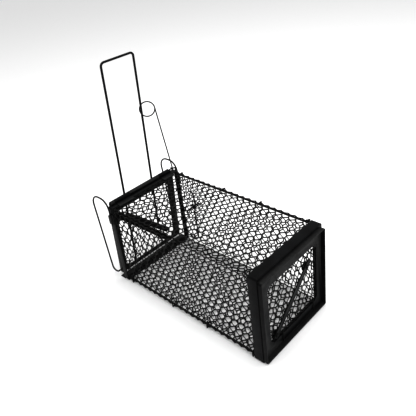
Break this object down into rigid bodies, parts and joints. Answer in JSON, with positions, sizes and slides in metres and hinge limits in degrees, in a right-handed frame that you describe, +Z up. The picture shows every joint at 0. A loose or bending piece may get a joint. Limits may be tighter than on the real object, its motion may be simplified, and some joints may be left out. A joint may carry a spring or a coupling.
{
  "type": "live catch trap",
  "caption": "Wire-mesh live catch trap with a sprung drop door, long set lever, ring latch and inside bait hook.",
  "frame": {"origin": "centre of the bounding box at floor level", "axes": "+Z up, door end faces -X, closed end faces +X, +Y is the side with the latch"},
  "size_m": [0.2698, 0.1222, 0.2913],
  "materials": {
    "sheet_paint": "semi-gloss black paint over pressed steel sheet",
    "mesh_paint": "black dip-painted expanded steel mesh",
    "wire_paint": "satin black painted steel wire",
    "spring_paint": "thin black paint over spring wire"
  },
  "bodies": {
    "cage": {"roof_mesh": "mesh_paint", "floor_mesh": "mesh_paint", "left_wall_mesh": "mesh_paint", "right_wall_mesh": "mesh_paint", "edge_rod_bottom": "wire_paint", "edge_rod_top": "wire_paint", "mesh_ties": "wire_paint", "door_end_band": "sheet_paint", "rear_end_band": "sheet_paint", "rear_panel_frame": "sheet_paint", "rear_panel_mesh": "mesh_paint", "rear_brace": "sheet_paint", "rear_brace_rivets": "wire_paint", "rear_panel_ties": "wire_paint", "hinge_tab_left": "sheet_paint", "hinge_tab_right": "sheet_paint", "hinge_rod": "wire_paint", "spring_left": "spring_paint", "spring_right": "spring_paint", "spring_clip_left": "sheet_paint", "spring_clip_right": "sheet_paint", "latch_staple": "wire_paint", "hook_bar": "wire_paint"},
    "door": {"door_frame": "sheet_paint", "door_mesh": "mesh_paint", "door_brace": "sheet_paint", "door_brace_rivets": "wire_paint", "door_lever": "wire_paint", "lever_clamp": "sheet_paint", "lever_clip": "wire_paint"},
    "latch": {"latch_wire": "wire_paint"},
    "hook": {"bait_hook": "wire_paint"}
  },
  "joints": [
    {"name": "door_swing", "type": "hinge", "parent": "cage", "child": "door", "pos_m": [-0.10393, 0, 0.11698], "axis": [0, 1, 0], "range_deg": [0, 87.5], "stiffness_Nm_per_rad": 0.15, "springref_deg": -28.65, "deforming": ["spring_left", "spring_right"]},
    {"name": "latch_swing", "type": "hinge", "parent": "cage", "child": "latch", "pos_m": [-0.10143, 0.0517, 0.1185], "axis": [0.4577, 0.8851, 0.0843], "range_deg": [0, 90.85]},
    {"name": "bait_hook_swing", "type": "hinge", "parent": "cage", "child": "hook", "pos_m": [-0.01066, 0, 0.1162], "axis": [0, -1, 0], "range_deg": [-20, 12]}
  ]
}
